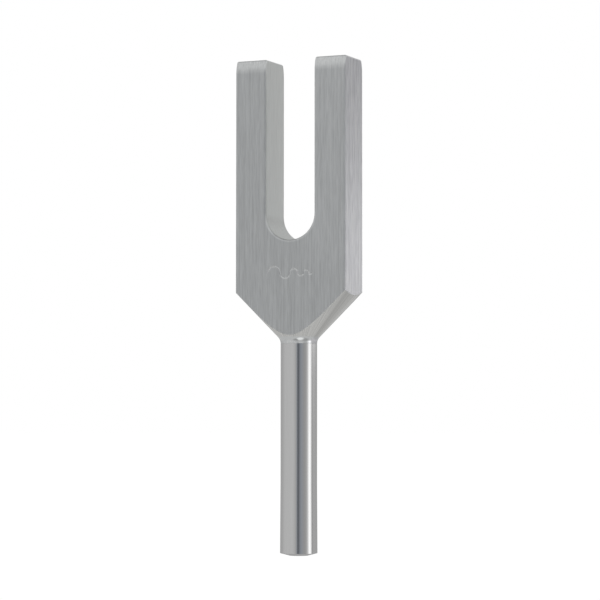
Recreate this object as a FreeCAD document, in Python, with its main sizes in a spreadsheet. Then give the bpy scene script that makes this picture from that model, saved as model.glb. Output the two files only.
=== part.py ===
import FreeCAD, Part
import math
import os
import Sketcher

# A tuning fork in two pieces. The fork body is sawn from flat bar, slotted to leave two square tines and
# turned to a cone below them. The stem is a turned rod whose threaded spigot screws into the fork body up to
# its shoulder, and the neck's fillet is turned to meet it.
#
# Frame: the origin is the centre of the stem's flat foot, +Z runs up to the tips of the tines, X runs across
# the two tines and Y runs through the thickness of the bar. The marked face is at -Y. Sizes are millimetres.

DIMENSIONS = [
    # the flat bar and the slot between the tines
    ("bar_width", 25.4, "width of the bar, across both tines"),
    ("bar_thickness", 9.525, "thickness of the bar"),
    ("tip_height", 104.95, "height of the tips of the tines above the foot"),
    ("slot_width", 11.11, "gap between the tines"),
    ("slot_centre", 72.05, "height of the centre of the slot's round floor"),
    ("edge_radius", 0.45, "rounding of the long edges and the tip edges"),
    ("ease_height", 2.8, "length of the eased stretch at the tip of each tine"),
    ("ease_depth", 0.6, "how far each face leans in over the eased stretch"),
    # the turned shoulder
    ("cone_meet", 45.5, "height where the cone's line meets the stem's line"),
    ("cone_angle", 43.7, "half-angle of the cone, in degrees"),
    ("neck_radius", 2.0, "fillet between the cone and the stem"),
    # the stem
    ("stem_radius", 3.86, "radius of the plain stem"),
    ("foot_radius", 3.95, "radius of the stem at its foot"),
    ("flare_height", 15.0, "height where the stem starts to widen to its foot"),
    ("foot_flat", 2.0, "radius of the flat in the middle of the foot"),
    ("foot_bevel", 0.52, "height of the shallow bevel round that flat"),
    ("shoulder_break", 0.03, "chamfer on the stem's shoulder"),
    # the screwed joint: a number 10 thread with 32 turns to the inch
    ("thread_radius", 2.413, "nominal outer radius of the thread"),
    ("thread_pitch", 0.79375, "pitch of the thread"),
    ("thread_gap", 0.04, "how far each thread stands off its nominal form"),
    ("spigot_length", 10.0, "length of the spigot above the shoulder"),
    ("relief_length", 1.2, "length of the undercut beside the shoulder"),
    ("hole_depth", 12.5, "depth of the tapped hole, without its drill point"),
    ("drill_point", 118.0, "angle of the drill point, in degrees"),
    ("lead_in", 0.5, "chamfer at the spigot's end and at the hole's mouth"),
    # the engraved mark, a dying vibration
    ("mark_height", 59.5, "height of the mark's middle line"),
    ("mark_swing", 1.45, "radius of the mark's first half-wave"),
    ("mark_decay", 0.78, "each half-wave's radius as a share of the one before"),
    ("mark_stroke", 0.2, "width of the engraved line"),
    ("mark_depth", 0.1, "depth of the engraved line"),
]

HALF_WAVES = 6  # in the mark; an even number, so that both sides of the stroke end side by side
PAST = 1.0  # how far a cutting outline runs past the material
NICK = 0.05  # how far a thread's cutting outline runs past the surface that it cuts
TOUCH = 1e-4  # lengths below this are taken as nothing

# shares of the pitch in a 60 degree thread: how deep its grooves are, and how wide where they open
HOLE_GROOVE = 0.5413
HOLE_OPENING = 3 / 4
SPIGOT_GROOVE = 0.6134
SPIGOT_OPENING = 7 / 8


# ---------------------------------------------------------------- sizes bound to the sheet


class Size:
    """A number with the sheet formula that it comes from, so that one call draws a line and binds it."""

    def __init__(self, value, text=None):
        self.value = value
        self.text = repr(value) if text is None else text

    def join(self, other, sign, value):
        return Size(value, f"({self.text} {sign} {as_size(other).text})")

    def __add__(self, other):
        return self.join(other, "+", self.value + as_size(other).value)

    def __sub__(self, other):
        return self.join(other, "-", self.value - as_size(other).value)

    def __mul__(self, other):
        return self.join(other, "*", self.value * as_size(other).value)

    def __truediv__(self, other):
        return self.join(other, "/", self.value / as_size(other).value)

    __radd__ = __add__
    __rmul__ = __mul__


def as_size(thing):
    return thing if isinstance(thing, Size) else Size(float(thing))


def turn(name, angle):
    """The sine, cosine or tangent of an angle in degrees."""
    value = getattr(math, name)(math.radians(angle.value))
    return Size(value, f"{name}({angle.text})")


class Dims:
    """The spreadsheet of driving dimensions: dims.bar_width is a Size bound to that cell."""

    def __init__(self, doc):
        sheet = doc.addObject("Spreadsheet::Sheet", "dims")
        for row, (name, value, note) in enumerate(DIMENSIONS, start=1):
            sheet.set(f"A{row}", name)
            sheet.set(f"B{row}", str(value))
            sheet.set(f"C{row}", note)
            sheet.setAlias(f"B{row}", name)
            setattr(self, name, Size(value, f"dims.{name}"))
        # the stem's shoulder meets the fork body where the neck fillet runs out
        self.joint = self.cone_meet - self.neck_radius * turn("tan", self.cone_angle / 2)


# ---------------------------------------------------------------- sketches


def new_sketch(body, name, plane, lift=None):
    """A sketch on one of the body's own origin planes, raised along the plane's normal by lift."""
    sketch = body.newObject("Sketcher::SketchObject", name)
    support = [feature for feature in body.Origin.OriginFeatures if feature.Role == plane]
    sketch.AttachmentSupport = [(support[0], "")]
    sketch.MapMode = "FlatFace"
    if lift is not None:
        sketch.setExpression("AttachmentOffset.Base.z", lift.text)
    return sketch


def hold(sketch, kind, where, size):
    """Add a constraint whose value is bound to the sheet, or one without a value."""
    if size is None:
        sketch.addConstraint(Sketcher.Constraint(kind, *where))
        return
    index = sketch.addConstraint(Sketcher.Constraint(kind, *where, size.value))
    sketch.setExpression(f"Constraints[{index}]", size.text)


def hold_point(sketch, edge, end, point, kinds=("DistanceX", "DistanceY")):
    """Fix a start (1), end (2) or centre (3) of an edge at the Sizes in point."""
    for kind, size in zip(("DistanceX", "DistanceY"), point):
        if kind not in kinds:
            continue
        if abs(size.value) > TOUCH:
            hold(sketch, kind, (-1, 1, edge, end), size)
        else:
            hold(sketch, "PointOnObject", (edge, end, -2 if kind == "DistanceX" else -1), None)


def vector(point):
    return FreeCAD.Vector(point[0].value, point[1].value, 0)


def arc_between(start, end, centre, anticlockwise):
    spokes = [vector(point) - vector(centre) for point in (start, end)]
    angles = [math.atan2(spoke.y, spoke.x) for spoke in spokes]
    circle = Part.Circle(vector(centre), FreeCAD.Vector(0, 0, 1), spokes[0].Length)
    return Part.ArcOfCircle(circle, *(angles if anticlockwise else reversed(angles)))


def draw(sketch, corners):
    """A closed outline through corners (x, y).

    A corner (x, y, (centre x, centre y, anticlockwise)) starts an arc.
    """
    points = [(as_size(corner[0]), as_size(corner[1])) for corner in corners]
    edges = []
    for corner, start, end in zip(corners, points, points[1:] + points[:1]):
        if len(corner) == 2:
            edge = sketch.addGeometry(Part.LineSegment(vector(start), vector(end)), False)
            ends = (1, 2)
        else:
            centre = (as_size(corner[2][0]), as_size(corner[2][1]))
            edge = sketch.addGeometry(arc_between(start, end, centre, corner[2][2]), False)
            ends = (1, 2) if corner[2][2] else (2, 1)
            flat = abs(start[0].value - end[0].value) > abs(start[1].value - end[1].value)
            hold_point(sketch, edge, 3, centre, ("DistanceY",) if flat else ("DistanceX",))
        hold_point(sketch, edge, ends[0], start)
        edges.append((edge, *ends))
    for here, after in zip(edges, edges[1:] + edges[:1]):
        hold(sketch, "Coincident", (here[0], here[2], after[0], after[1]), None)


# ---------------------------------------------------------------- features


def feature(body, kind, name, sketch, **settings):
    """A PartDesign feature on a sketch. A Size in the settings is bound to the sheet."""
    made = body.newObject("PartDesign::" + kind, name)
    made.Profile = sketch
    for key, setting in settings.items():
        if isinstance(setting, Size):
            made.setExpression(key, setting.text)
        else:
            setattr(made, key, setting)
    return made


def cut_feature(body, kind, name, sketch, **settings):
    """The same for a feature that has to take material away."""
    body.Document.recompute()
    before = body.Shape.Volume
    made = feature(body, kind, name, sketch, **settings)
    body.Document.recompute()
    taken = before - body.Shape.Volume
    print(f"{name}: takes {taken:.3f} mm3")
    if taken < TOUCH:
        raise RuntimeError(name + " cuts nothing")
    return made


def thread_cut(body, name, dims, surface, root, opening, start, length):
    """Cut a 60 degree groove that winds up round Z, from the surface, where it opens widest, to the root."""
    outward = 1 if root.value > surface.value else -1
    flank = turn("tan", Size(30.0)) * 2
    past = surface - NICK * outward
    past_half = (opening + flank * NICK) / 2
    root_half = (opening - flank * (root - surface) * outward) / 2
    sketch = new_sketch(body, name + "_form", "XZ_Plane")
    draw(sketch, [
        (past, start - past_half),
        (root, start - root_half),
        (root, start + root_half),
        (past, start + past_half),
    ])
    return cut_feature(
        body, "SubtractiveHelix", name, sketch, ReferenceAxis=(sketch, ["V_Axis"]),
        Mode="pitch-height-angle", Pitch=dims.thread_pitch, Height=length,
    )


# ---------------------------------------------------------------- the fork body


def bar_and_slot(body, dims):
    """The sawn bar, with the slot that leaves the two tines, and the eased faces at their tips."""
    half = dims.bar_width / 2
    sketch = new_sketch(body, "bar_outline", "XZ_Plane")
    draw(sketch, [
        (half * -1, dims.joint),
        (half, dims.joint),
        (half, dims.tip_height),
        (half * -1, dims.tip_height),
    ])
    feature(body, "Pad", "bar", sketch, SideType="Symmetric", Length=dims.bar_thickness)

    reach = dims.slot_width / 2
    top = dims.tip_height + PAST
    sketch = new_sketch(body, "slot_outline", "XZ_Plane")
    draw(sketch, [
        (reach * -1, dims.slot_centre, (0, dims.slot_centre, True)),
        (reach, dims.slot_centre),
        (reach, top),
        (reach * -1, top),
    ])
    cut_feature(body, "Pocket", "slot", sketch, SideType="Symmetric", Length=dims.bar_thickness + 2 * PAST)

    # each eased face is an arc that leaves the flat face at a tangent
    rise, depth = dims.ease_height, dims.ease_depth
    radius = (rise * rise + depth * depth) / (depth * 2)
    start = dims.tip_height - rise
    sketch = new_sketch(body, "ease_outline", "YZ_Plane")
    for side in (1, -1):
        face = dims.bar_thickness / 2
        draw(sketch, [
            (face * side, start, ((face - radius) * side, start, side > 0)),
            ((face - depth) * side, dims.tip_height),
            ((face - depth) * side, top),
            ((face + PAST) * side, top),
            ((face + PAST) * side, start),
        ])
    cut_feature(body, "Pocket", "eased_tips", sketch, SideType="Symmetric", Length=dims.bar_width + 2 * PAST)


def rounded_edges(body, dims):
    """Round the long edges, the slot's edges and the edges of the tips."""
    body.Document.recompute()
    base = body.Tip
    ease_start = dims.tip_height.value - dims.ease_height.value
    names = []
    for index, edge in enumerate(base.Shape.Edges, start=1):
        box = edge.BoundBox
        level = box.ZLength < TOUCH
        at_bottom = level and box.ZMax < dims.joint.value + TOUCH
        smooth = level and abs(box.ZMax - ease_start) < TOUCH
        floor_seam = level and abs(box.ZMax - dims.slot_centre.value) < TOUCH
        if not (at_bottom or smooth or floor_seam):
            names.append(f"Edge{index}")
    fillet = body.newObject("PartDesign::Fillet", "rounded_edges")
    fillet.Base = (base, names)
    fillet.setExpression("Radius", dims.edge_radius.text)


def turned_shoulder(body, dims):
    """Turn away all that lies outside the cone and the neck fillet."""
    angle = dims.cone_angle
    fillet_end = (
        dims.stem_radius + dims.neck_radius - dims.neck_radius * turn("cos", angle),
        dims.joint + dims.neck_radius * turn("sin", angle),
    )
    reach = dims.bar_width / 2 + dims.bar_thickness / 4
    sketch = new_sketch(body, "shoulder_outline", "XZ_Plane")
    draw(sketch, [
        (dims.stem_radius, dims.joint, (dims.stem_radius + dims.neck_radius, dims.joint, False)),
        fillet_end,
        (reach, dims.cone_meet + (reach - dims.stem_radius) / turn("tan", angle)),
        (reach, dims.joint - PAST),
        (dims.stem_radius, dims.joint - PAST),
    ])
    cut_feature(body, "Groove", "turned_shoulder", sketch, ReferenceAxis=(sketch, ["V_Axis"]), Angle=360.0)


def tapped_hole(body, dims):
    """The blind hole for the stem, drilled and tapped up from the neck."""
    bore = dims.thread_radius - dims.thread_pitch * HOLE_GROOVE + dims.thread_gap
    sketch = new_sketch(body, "hole_centre", "XY_Plane", dims.joint)
    circle = Part.Circle(FreeCAD.Vector(0, 0, 0), FreeCAD.Vector(0, 0, 1), bore.value)
    edge = sketch.addGeometry(circle, False)
    hold_point(sketch, edge, 3, (as_size(0), as_size(0)))
    hold(sketch, "Radius", (edge,), bore)
    cut_feature(
        body, "Hole", "drilled_hole", sketch, Reversed=True, DepthType="Dimension", Depth=dims.hole_depth,
        Diameter=bore * 2, DrillPoint="Angled", DrillPointAngle=dims.drill_point, HoleCutType="Countersink",
        HoleCutCustomValues=True, HoleCutDiameter=(bore + dims.lead_in) * 2, HoleCutCountersinkAngle=90.0,
    )
    thread_cut(
        body, "hole_thread", dims, bore, dims.thread_radius + dims.thread_gap,
        dims.thread_pitch * HOLE_OPENING, dims.joint - dims.thread_pitch / 2,
        dims.hole_depth - dims.thread_pitch,
    )


def engraved_mark(body, dims):
    """A dying vibration engraved in the front face: half-waves in a row, each smaller than the last."""
    radii = [dims.mark_swing]
    for _ in range(HALF_WAVES - 1):
        radii.append(radii[-1] * dims.mark_decay)
    crossings = [sum(radii) * -1]
    for radius in radii:
        crossings.append(crossings[-1] + radius * 2)
    # at each crossing the outline's two sides stand half a stroke to either side, and swap places in between
    shifts = [dims.mark_stroke / 2 * (-1) ** index for index in range(len(crossings))]
    level = dims.mark_height
    there = [
        (crossings[index] + shifts[index], level, (crossings[index] + radius, level, index % 2 == 1))
        for index, radius in enumerate(radii)
    ]
    back = [
        (crossings[index + 1] - shifts[index + 1], level, (crossings[index] + radius, level, index % 2 == 0))
        for index, radius in reversed(list(enumerate(radii)))
    ]
    sketch = new_sketch(body, "mark_outline", "XZ_Plane", dims.bar_thickness / 2)
    draw(sketch, there + [(crossings[-1] + shifts[-1], level)] + back + [(crossings[0] - shifts[0], level)])
    cut_feature(body, "Pocket", "engraved_mark", sketch, Type="Length", Length=dims.mark_depth)


def fork_body(doc, dims):
    body = doc.addObject("PartDesign::Body", "fork_body")
    bar_and_slot(body, dims)
    rounded_edges(body, dims)
    turned_shoulder(body, dims)
    tapped_hole(body, dims)
    engraved_mark(body, dims)
    return body


# ---------------------------------------------------------------- the stem


def stem(doc, dims):
    """The turned rod: foot, plain grip, shoulder, undercut and threaded spigot."""
    body = doc.addObject("PartDesign::Body", "stem")
    crest = dims.thread_radius - dims.thread_gap
    root = dims.thread_radius - dims.thread_pitch * SPIGOT_GROOVE - dims.thread_gap
    undercut = root - NICK
    relief_top = dims.joint + dims.relief_length
    spigot_top = dims.joint + dims.spigot_length
    sketch = new_sketch(body, "stem_outline", "XZ_Plane")
    draw(sketch, [
        (0, 0),
        (dims.foot_flat, 0),
        (dims.foot_radius, dims.foot_bevel),
        (dims.stem_radius, dims.flare_height),
        (dims.stem_radius, dims.joint - dims.shoulder_break),
        (dims.stem_radius - dims.shoulder_break, dims.joint),
        (undercut, dims.joint),
        (undercut, relief_top - (crest - undercut)),
        (crest, relief_top),
        (crest, spigot_top - dims.lead_in),
        (crest - dims.lead_in, spigot_top),
        (0, spigot_top),
    ])
    feature(body, "Revolution", "turned_rod", sketch, ReferenceAxis=(sketch, ["V_Axis"]), Angle=360.0)

    thread_cut(
        body, "spigot_thread", dims, crest, root, dims.thread_pitch * SPIGOT_OPENING,
        dims.joint + dims.thread_pitch, dims.spigot_length,
    )
    return body


# ---------------------------------------------------------------- the document


def failures(doc, bodies):
    """What is wrong anywhere in the document, in words."""
    found = []
    for item in doc.Objects:
        if "Invalid" in item.State or "Error" in item.State:
            found.append(f"{item.Name} is in the state {item.State}")
    for body in bodies:
        if body.Shape.isNull() or not body.Shape.isValid() or len(body.Shape.Solids) != 1:
            found.append(f"{body.Label} isn't one valid solid")
    return found


def main():
    doc = FreeCAD.newDocument("tuning_fork")
    dims = Dims(doc)
    doc.recompute()
    bodies = [fork_body(doc, dims), stem(doc, dims)]
    doc.recompute()
    found = failures(doc, bodies)
    if found:
        raise RuntimeError("; ".join(found))
    overlap = bodies[0].Shape.common(bodies[1].Shape).Volume
    print(f"the two pieces overlap by {overlap:.5f} mm3")
    os.makedirs("parts", exist_ok=True)
    for body in bodies:
        box = body.Shape.optimalBoundingBox()
        size = f"{box.XLength:.3f} x {box.YLength:.3f} x {box.ZLength:.3f}"
        print(f"{body.Label}: {body.Shape.Volume:.2f} mm3, {size} mm")
        body.Shape.exportStep(f"parts/{body.Label}.step")


main()
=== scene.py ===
import math

import bpy
from mathutils import Matrix, Vector


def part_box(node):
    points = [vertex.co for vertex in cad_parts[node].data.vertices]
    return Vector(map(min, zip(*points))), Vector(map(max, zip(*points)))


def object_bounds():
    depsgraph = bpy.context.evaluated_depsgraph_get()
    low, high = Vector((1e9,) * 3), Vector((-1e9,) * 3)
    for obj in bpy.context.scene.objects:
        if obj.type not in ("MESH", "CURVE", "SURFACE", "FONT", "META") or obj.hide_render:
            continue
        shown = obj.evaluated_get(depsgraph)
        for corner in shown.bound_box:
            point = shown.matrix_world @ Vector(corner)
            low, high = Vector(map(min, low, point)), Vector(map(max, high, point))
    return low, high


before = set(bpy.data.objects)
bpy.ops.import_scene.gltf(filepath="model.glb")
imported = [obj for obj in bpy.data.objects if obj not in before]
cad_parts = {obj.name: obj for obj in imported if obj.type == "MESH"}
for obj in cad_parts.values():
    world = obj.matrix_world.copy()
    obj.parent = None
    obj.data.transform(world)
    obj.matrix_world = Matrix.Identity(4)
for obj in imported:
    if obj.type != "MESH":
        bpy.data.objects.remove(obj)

# The fork stands on its foot on a lit white table, in a grey studio. Both pieces are the CAD
# nodes themselves: this script gives them their finishes, the studio that they reflect, and
# the camera.

MM = 0.001
CAD_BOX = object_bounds()
BAR_LOW, BAR_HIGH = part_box("fork_body")
STEM_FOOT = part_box("stem")[0][2]

# ---------------------------------------------------------------- helpers


def azimuth(degrees):
    """The level unit vector at an angle from the front, -Y, round towards +X."""
    angle = math.radians(degrees)
    return Vector((math.sin(angle), -math.cos(angle), 0))


def grey(level, tint=(1, 1, 1)):
    return (*(level * part for part in tint), 1)


class Graph:
    """Short calls for building a node tree. Most return the socket that the next one takes."""

    def __init__(self, tree):
        self.tree = tree
        tree.nodes.clear()

    def node(self, kind, inputs=None, **settings):
        made = self.tree.nodes.new(kind)
        for key, value in settings.items():
            setattr(made, key, value)
        for key, value in (inputs or {}).items():
            self.feed(made.inputs[key], value)
        return made

    def feed(self, socket, value):
        if isinstance(value, bpy.types.NodeSocket):
            self.tree.links.new(value, socket)
        else:
            socket.default_value = value

    def math(self, operation, *values):
        made = self.node("ShaderNodeMath", operation=operation)
        for index, value in enumerate(values):
            self.feed(made.inputs[index], value)
        return made.outputs[0]

    def times(self, first, second):
        return self.math("MULTIPLY", first, second)

    def magnitude(self, value):
        """A number without its sign."""
        return self.math("ABSOLUTE", value)

    def inverse(self, mask):
        """1 where the mask is 0, and 0 where it is 1."""
        return self.math("SUBTRACT", 1.0, mask)

    def vector(self, operation, *values):
        made = self.node("ShaderNodeVectorMath", operation=operation)
        for index, value in enumerate(values):
            self.feed(made.inputs[index], value)
        return made.outputs["Value" if operation == "DOT_PRODUCT" else "Vector"]

    def split(self, vector):
        return self.node("ShaderNodeSeparateXYZ", {"Vector": vector}).outputs

    def step(self, value, low, high, start=0.0, end=1.0):
        """A smooth step from start at low to end at high."""
        made = self.node("ShaderNodeMapRange", {
            "Value": value, "From Min": low, "From Max": high, "To Min": start, "To Max": end,
        }, interpolation_type="SMOOTHSTEP")
        return made.outputs[0]

    def mix(self, share, first, second):
        """A blend of two numbers."""
        made = self.node("ShaderNodeMix", data_type="FLOAT")
        self.feed(made.inputs[0], share)
        self.feed(made.inputs[2], first)
        self.feed(made.inputs[3], second)
        return made.outputs[0]

    def mix_vector(self, share, first, second):
        made = self.node("ShaderNodeMix", data_type="VECTOR")
        self.feed(made.inputs[0], share)
        self.feed(made.inputs[4], first)
        self.feed(made.inputs[5], second)
        return made.outputs[1]

    def mix_colour(self, share, first, second, blend="MIX"):
        made = self.node("ShaderNodeMix", data_type="RGBA", blend_type=blend)
        self.feed(made.inputs[0], share)
        self.feed(made.inputs[6], first)
        self.feed(made.inputs[7], second)
        return made.outputs[2]

    def layers(self, mix, masks, values):
        """The first value, with each later one laid over it where its own mask is 1."""
        (_, made), *later = values.items()
        for zone, value in later:
            made = mix(masks[zone], made, value)
        return made

    def ramp(self, value, stops):
        """A colour ramp through stops of (position, colour)."""
        made = self.node("ShaderNodeValToRGB", {"Fac": value})
        points = made.color_ramp.elements
        while len(points) < len(stops):
            points.new(0.5)
        for point, (position, colour) in zip(points, stops):
            point.position = position
            point.color = colour
        return made.outputs[0]


# ---------------------------------------------------------------- camera

VIEW_AZIMUTH = 24.15
VIEW_ELEVATION = -2.58
VIEW_ROLL = 0.04
VIEW_DISTANCE = 504.3 * MM
LENS_MM = 142.76
SENSOR_MM = 36.0
SHIFT = (0.00179, 0.01163)
CLIP = (0.01, 50.0)  # metres


def make_camera():
    """A long lens, looking a little upwards at the front and at the fork's +X side."""
    middle = (Vector(CAD_BOX[0]) + Vector(CAD_BOX[1])) / 2
    elevation = math.radians(VIEW_ELEVATION)
    away = azimuth(VIEW_AZIMUTH) * math.cos(elevation) + Vector((0, 0, math.sin(elevation)))
    data = bpy.data.cameras.new("camera")
    data.lens = LENS_MM
    data.sensor_width = SENSOR_MM
    data.shift_x, data.shift_y = SHIFT
    data.clip_start, data.clip_end = CLIP
    camera = bpy.data.objects.new("camera", data)
    roll = Matrix.Rotation(math.radians(VIEW_ROLL), 3, "Z")
    turn = away.to_track_quat("Z", "Y").to_matrix() @ roll
    camera.matrix_world = Matrix.Translation(middle + away * VIEW_DISTANCE) @ turn.to_4x4()
    bpy.context.scene.collection.objects.link(camera)
    bpy.context.scene.camera = camera


# ---------------------------------------------------------------- studio

COOL = (0.91, 0.97, 1.07)
PLAIN = (1, 1, 1)

# what stands round the fork at its own height, as stops of
# (azimuth from the front towards +X, brightness, tint)
WALLS = [
    (-180, 0.34, PLAIN),
    (-150, 0.36, PLAIN),
    (-100, 0.38, PLAIN),
    (-75, 0.46, PLAIN),  # a pale wall on the left, up to the front
    (-14, 0.475, PLAIN),
    (-4, 0.43, PLAIN),
    (6, 0.35, PLAIN),
    (12, 0.29, COOL),  # the dark strip behind the camera
    (16, 0.12, COOL),
    (20, 0.095, COOL),
    (25, 0.15, COOL),  # the room beyond it, grey-blue
    (31, 0.23, COOL),
    (39, 0.28, COOL),
    (60, 0.30, PLAIN),  # a grey wall on the right
    (75, 0.36, PLAIN),
    (115, 0.30, PLAIN),
    (130, 0.38, PLAIN),  # and a paler one behind
    (180, 0.34, PLAIN),
]
# two lights laid over the walls, as stops of (azimuth, brightness)
TALL_LIGHT = [
    (70, 0.0), (79, 0.10), (87, 0.47), (91, 0.70), (94, 0.76), (102, 0.68), (108, 0.50), (113, 0.0),
]
LOW_LIGHT = [(105, 0.0), (118, 0.80), (141, 0.80), (150, 0.50), (168, 0.46), (178, 0.02)]
# and for each the elevations between which it fades at its top and at its foot, dark end first
LIGHTS = [
    (TALL_LIGHT, (7.3, 2.7), (-36, -8)),
    (LOW_LIGHT, (7, 3), (1.6, 3.1)),
]

STUDIO_LIGHT = 1.1
GROUND = 0.44
CEILING_FRONT, CEILING_BACK = 0.585, 0.48
CEILING_FADE = (-0.3, 0.5)  # along Y, in a direction of length 1
WALL_TOP = (5.0, 28.0)  # elevations between which the walls turn into the ceiling
WALL_FOOT = (-5.0, -12.0)  # and into the ground

# soft round patches: azimuth, elevation, outer and inner angle, brightness
PATCHES = [
    (0, 90, 34, 18, 0.25),  # the dark room overhead
    (68, -38, 26, 10, 0.30),  # two darker places on the ground
    (2, -38, 20, 8, 0.28),
    (165, -32, 21, 18, 0.37),  # a shadow on the ground behind
    (36, -54, 21, 8, 0.77),  # a bright sheet on the ground before the fork
]


def share_of_turn(degrees):
    """An azimuth as a place from 0 to 1 on a ramp that starts and ends at the back."""
    return (degrees + 180) / 360


def make_world():
    """A grey studio that the metal reflects, with plain white behind it for the camera."""
    world = bpy.data.worlds.new("studio")
    world.use_nodes = True
    g = Graph(world.node_tree)
    direction = g.node("ShaderNodeTexCoord").outputs["Generated"]
    x, y, z = g.split(direction)
    turn = g.math("DIVIDE", g.math("ARCTAN2", x, g.times(y, -1.0)), 2 * math.pi)
    share = g.math("ADD", turn, 0.5)
    rise = g.math("DEGREES", g.math("ARCSINE", z))

    walls = [(share_of_turn(angle), grey(level, tint)) for angle, level, tint in WALLS]
    colour = g.ramp(share, walls)
    colour = g.mix_colour(g.step(rise, *WALL_FOOT), colour, grey(GROUND))
    ceiling = g.step(y, *CEILING_FADE, CEILING_FRONT, CEILING_BACK)
    colour = g.mix_colour(g.step(rise, *WALL_TOP), colour, ceiling)
    for angle, elevation, outer, inner, level in PATCHES:
        tilt = math.radians(elevation)
        centre = azimuth(angle) * math.cos(tilt) + Vector((0, 0, math.sin(tilt)))
        near = g.vector("DOT_PRODUCT", direction, tuple(centre))
        edge = (math.cos(math.radians(outer)), math.cos(math.radians(inner)))
        colour = g.mix_colour(g.step(near, *edge), colour, grey(level))
    for stops, top, foot in LIGHTS:
        light = g.ramp(share, [(share_of_turn(angle), grey(level)) for angle, level in stops])
        window = g.times(g.step(rise, *top), g.step(rise, *foot))
        colour = g.mix_colour(window, colour, light, blend="ADD")

    seen = g.node("ShaderNodeBackground", {"Color": grey(1.0), "Strength": 1.0})
    lit = g.node("ShaderNodeBackground", {"Color": colour, "Strength": STUDIO_LIGHT})
    camera_ray = g.node("ShaderNodeLightPath").outputs["Is Camera Ray"]
    pick = g.node("ShaderNodeMixShader", {
        "Fac": camera_ray, 1: lit.outputs[0], 2: seen.outputs[0],
    })
    g.node("ShaderNodeOutputWorld", {"Surface": pick.outputs[0]})
    bpy.context.scene.world = world


FLOOR_RADIUS = 3.0
FLOOR_SIDES = 96
FLOOR_GLOW = 1.02


def make_floor():
    """A lit white table under the foot. The metal reflects the studio's ground in its place."""
    bpy.ops.mesh.primitive_circle_add(
        vertices=FLOOR_SIDES, radius=FLOOR_RADIUS, fill_type="NGON")
    floor = bpy.context.object
    floor.name = "floor"
    floor.location.z = CAD_BOX[0][2]
    floor.visible_glossy = False
    material, g = new_material("light_table")
    glow = g.node("ShaderNodeEmission", {"Color": grey(1.0), "Strength": FLOOR_GLOW})
    g.node("ShaderNodeOutputMaterial", {"Surface": glow.outputs[0]})
    floor.data.materials.append(material)


# ---------------------------------------------------------------- finishes


def new_material(name):
    material = bpy.data.materials.new(name)
    material.use_nodes = True
    return material, Graph(material.node_tree)


NOISE_ROUGHNESS = 0.6


def streaks(g, place, across, along, detail, seed):
    """Noise drawn out along Z, from 0 to 1."""
    stretched = g.vector("MULTIPLY", place, (1 / across, 1 / across, 1 / along))
    moved = g.vector("ADD", stretched, (seed, seed * 1.7, seed * 0.6))
    return g.node("ShaderNodeTexNoise", {
        "Vector": moved, "Scale": 1.0, "Detail": detail, "Roughness": NOISE_ROUGHNESS,
    }).outputs["Fac"]


def radial_highlight_lines(g, x, y):
    """Noise that changes only with the angle round the stem's axis, from 0 to 1: painted highlight
    streaks down the cone.
    """
    angle = g.math("ARCTAN2", x, y)
    return g.node("ShaderNodeTexNoise", {
        "Vector": angle, "Scale": 9.0, "Detail": 2.0, "Roughness": NOISE_ROUGHNESS,
    }).outputs["Fac"]


# where the fork body's finish changes
NECK_TOP = 46.08 * MM  # the fillet between the stem and the cone ends here
CROTCH = 66 * MM  # the slot's floor starts above here
RIGHT_START = (2 * MM, 6 * MM)  # across: from here on a face belongs to the right tine
RIGHT_RISE = (56 * MM, 68 * MM)  # and upwards
SLOT_HALF = 5.9 * MM  # a little over half the slot's width
MARK_FLOOR = BAR_LOW[1] + 0.1 * MM
FACE_TOP = 100 * MM  # above here the face itself slopes in as deep as the mark
TIP = BAR_HIGH[2]
FOOT_BEVEL = STEM_FOOT + 0.52 * MM

# How far a surface has to face some way, by the parts of its unit normal: first where the zone
# starts to fade in, then where it is full.
FACING_DOWN = (-0.55, -0.66)
FACING_SIDEWAYS = (0.7, 0.9)
FACING_FRONT = (-0.9, -0.97)
NOT_FRONT_OR_BACK = (0.75, 0.55)
UP_AND_OUT = (0.15, 0.35)  # the product of both parts, on the slot floor's rounded edges
ALMOST_UP = (0.02, 0, 1)  # off true, so that it has a cross product on the flat tips too

# The finish of each zone of the body, and a slightly lighter grey on the right tine. In a table, a
# later zone lies over an earlier one.
ROUGHNESS = {"face": 0.40, "milled": 0.42, "turned": 0.20, "neck": 0.12, "mark": 0.50}
STRETCH = {"face": 1.0, "milled": 0.0, "turned": 0.80, "neck": 0.0, "mark": 0.0}
SHADE = {"face": 0.895, "right_tine": 0.93, "edge_face": 0.90, "turned": 0.865, "milled": 0.83}
# painted shade: the slot floor's rounded edges are darkened, to dim the ceiling's highlight on them
SLOT_EDGE_PAINTED_SHADE = 0.83
MARK_SHADE = 1.0
# the depth of the grain, and on the turned cone the strength of its painted highlight streaks
GRAIN_AND_HIGHLIGHT_DEPTH = {"face": 0.52, "edge_face": 0.95, "milled": 0.25, "neck": 0.25, "turned": 0.9}
TINT = {
    "face": grey(1, (0.98, 1.0, 1.0)),
    "edge_face": grey(1, (0.985, 0.985, 1.01)),
    "milled": grey(1, (0.98, 1.0, 0.985)),
    "turned": grey(1, (1.0, 1.0, 0.975)),
}
BROAD_SHARE = 0.4
CORNER_RADIUS = 0.3 * MM
BUMP_STRENGTH = 0.25
BUMP_DEPTH = 0.02 * MM


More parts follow.
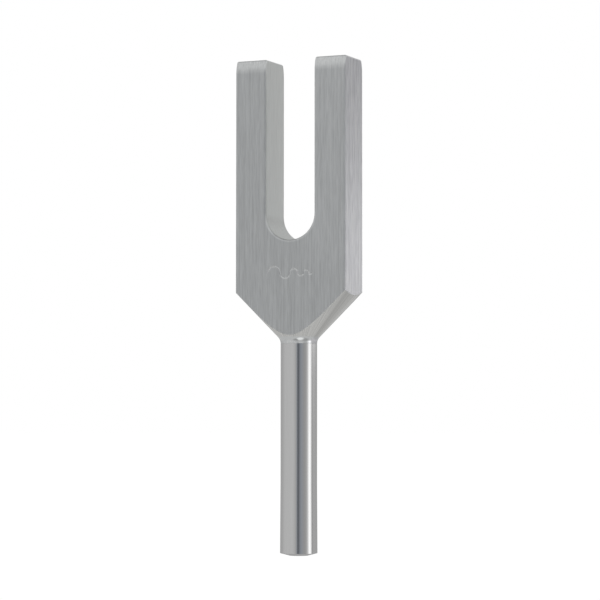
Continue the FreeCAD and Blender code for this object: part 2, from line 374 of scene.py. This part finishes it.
def body_zones(g, place, normal):
    """A mask for each zone of the body, found from where a point is and which way it faces."""
    x, y, z = g.split(place)
    side, front, up = g.split(normal)
    neck = g.step(z, NECK_TOP + 0.1 * MM, NECK_TOP - 0.05 * MM)
    above_crotch = g.step(z, CROTCH, CROTCH + 0.1 * MM)
    in_slot = g.times(g.step(g.magnitude(x), SLOT_HALF, SLOT_HALF - 0.2 * MM), above_crotch)
    milled = g.times(in_slot, g.step(g.magnitude(front), *NOT_FRONT_OR_BACK))
    deep = g.step(y, MARK_FLOOR - 0.07 * MM, MARK_FLOOR - 0.03 * MM)
    sunk = g.times(deep, g.step(front, *FACING_FRONT))
    rounded = g.step(g.times(up, g.magnitude(front)), *UP_AND_OUT)
    return {
        "neck": neck,
        "turned": g.times(g.step(up, *FACING_DOWN), g.inverse(neck)),
        "milled": milled,
        "mark": g.times(sunk, g.step(z, FACE_TOP, FACE_TOP - 0.1 * MM)),
        "edge_face": g.times(g.step(g.magnitude(side), *FACING_SIDEWAYS), g.inverse(milled)),
        "right_tine": g.times(g.step(x, *RIGHT_START), g.step(z, *RIGHT_RISE)),
        # the slot floor's rounded edges, where shade is painted
        "slot_edge_painted_shade": g.times(rounded, g.step(z, TIP - 5 * MM, TIP - 6 * MM)),
    }


def satin_bar():
    """Bar sanded along its length, with turned, milled and engraved surfaces where those are."""
    material, g = new_material("satin_bar")
    place = g.node("ShaderNodeTexCoord").outputs["Object"]
    normal = g.node("ShaderNodeNewGeometry").outputs["Normal"]
    zones = body_zones(g, place, normal)

    # the highlight is drawn out across the sanding, and on the cone across the turning
    level_line = g.vector("CROSS_PRODUCT", ALMOST_UP, normal)
    slope_line = g.vector("CROSS_PRODUCT", level_line, normal)
    tangent = g.mix_vector(zones["turned"], level_line, slope_line)

    fine = streaks(g, place, across=0.20 * MM, along=3.5 * MM, detail=1.0, seed=3.1)
    broad = streaks(g, place, across=0.38 * MM, along=22 * MM, detail=1.0, seed=7.7)
    sanding = g.mix(BROAD_SHARE, fine, broad)
    x, y, _ = g.split(place)
    # on the cone, painted highlight streaks along the slope take the place of the sanding grain
    grain_and_highlight_streaks = g.mix(zones["turned"], sanding, radial_highlight_lines(g, x, y))

    shade = g.layers(g.mix, zones, SHADE)
    # painted shade darkens the slot floor's rounded edges
    shade = g.times(shade, g.mix(zones["slot_edge_painted_shade"], 1.0, SLOT_EDGE_PAINTED_SHADE))
    shade = g.mix(zones["mark"], shade, MARK_SHADE)
    depth = g.layers(g.mix, zones, GRAIN_AND_HIGHLIGHT_DEPTH)
    level = g.math("ADD", shade, g.times(g.math("SUBTRACT", grain_and_highlight_streaks, 0.5), depth))
    colour = g.vector("MULTIPLY", g.layers(g.mix_colour, zones, TINT), level)

    soft = g.node("ShaderNodeBevel", {"Radius": CORNER_RADIUS}, samples=6)
    bump = g.node("ShaderNodeBump", {
        "Strength": BUMP_STRENGTH, "Distance": BUMP_DEPTH, "Height": sanding,
        "Normal": soft.outputs[0],
    })
    shader = g.node("ShaderNodeBsdfPrincipled", {
        "Base Color": colour, "Metallic": 1.0,
        "Roughness": g.layers(g.mix, zones, ROUGHNESS),
        "Anisotropic": g.layers(g.mix, zones, STRETCH),
        "Tangent": tangent, "Normal": bump.outputs[0],
    })
    g.node("ShaderNodeOutputMaterial", {"Surface": shader.outputs[0]})
    return material


STEM_GREYS = (0.80, 0.855)
STEM_ROUGHNESS = 0.12
# the foot edge is rougher, and darker in painted shade that dims the highlight on it
FOOT_PAINTED_SHADE_GREY = 0.70
FOOT_ROUGHNESS = 0.35


def bright_stem():
    """Bright drawn rod, with a rougher foot edge, darkened with painted shade that dims its
    highlight.
    """
    material, g = new_material("bright_stem")
    place = g.node("ShaderNodeTexCoord").outputs["Object"]
    fine = streaks(g, place, across=0.12 * MM, along=12 * MM, detail=3.0, seed=1.3)
    z = g.split(place)[2]
    foot = g.step(z, FOOT_BEVEL + 0.04 * MM, FOOT_BEVEL - 0.04 * MM)
    dark, light = STEM_GREYS
    colour = g.ramp(fine, [(0.25, grey(dark)), (0.75, grey(light))])
    # on the foot edge, painted shade darkens the grey
    shader = g.node("ShaderNodeBsdfPrincipled", {
        "Base Color": g.mix_colour(foot, colour, grey(FOOT_PAINTED_SHADE_GREY)), "Metallic": 1.0,
        "Roughness": g.mix(foot, STEM_ROUGHNESS, FOOT_ROUGHNESS),
    })
    g.node("ShaderNodeOutputMaterial", {"Surface": shader.outputs[0]})
    return material


def dress(node, material):
    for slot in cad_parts[node].material_slots:
        slot.material = material


# ---------------------------------------------------------------- the scene

make_camera()
make_world()
make_floor()
dress("fork_body", satin_bar())
dress("stem", bright_stem())
bpy.context.scene.view_settings.view_transform = "Standard"
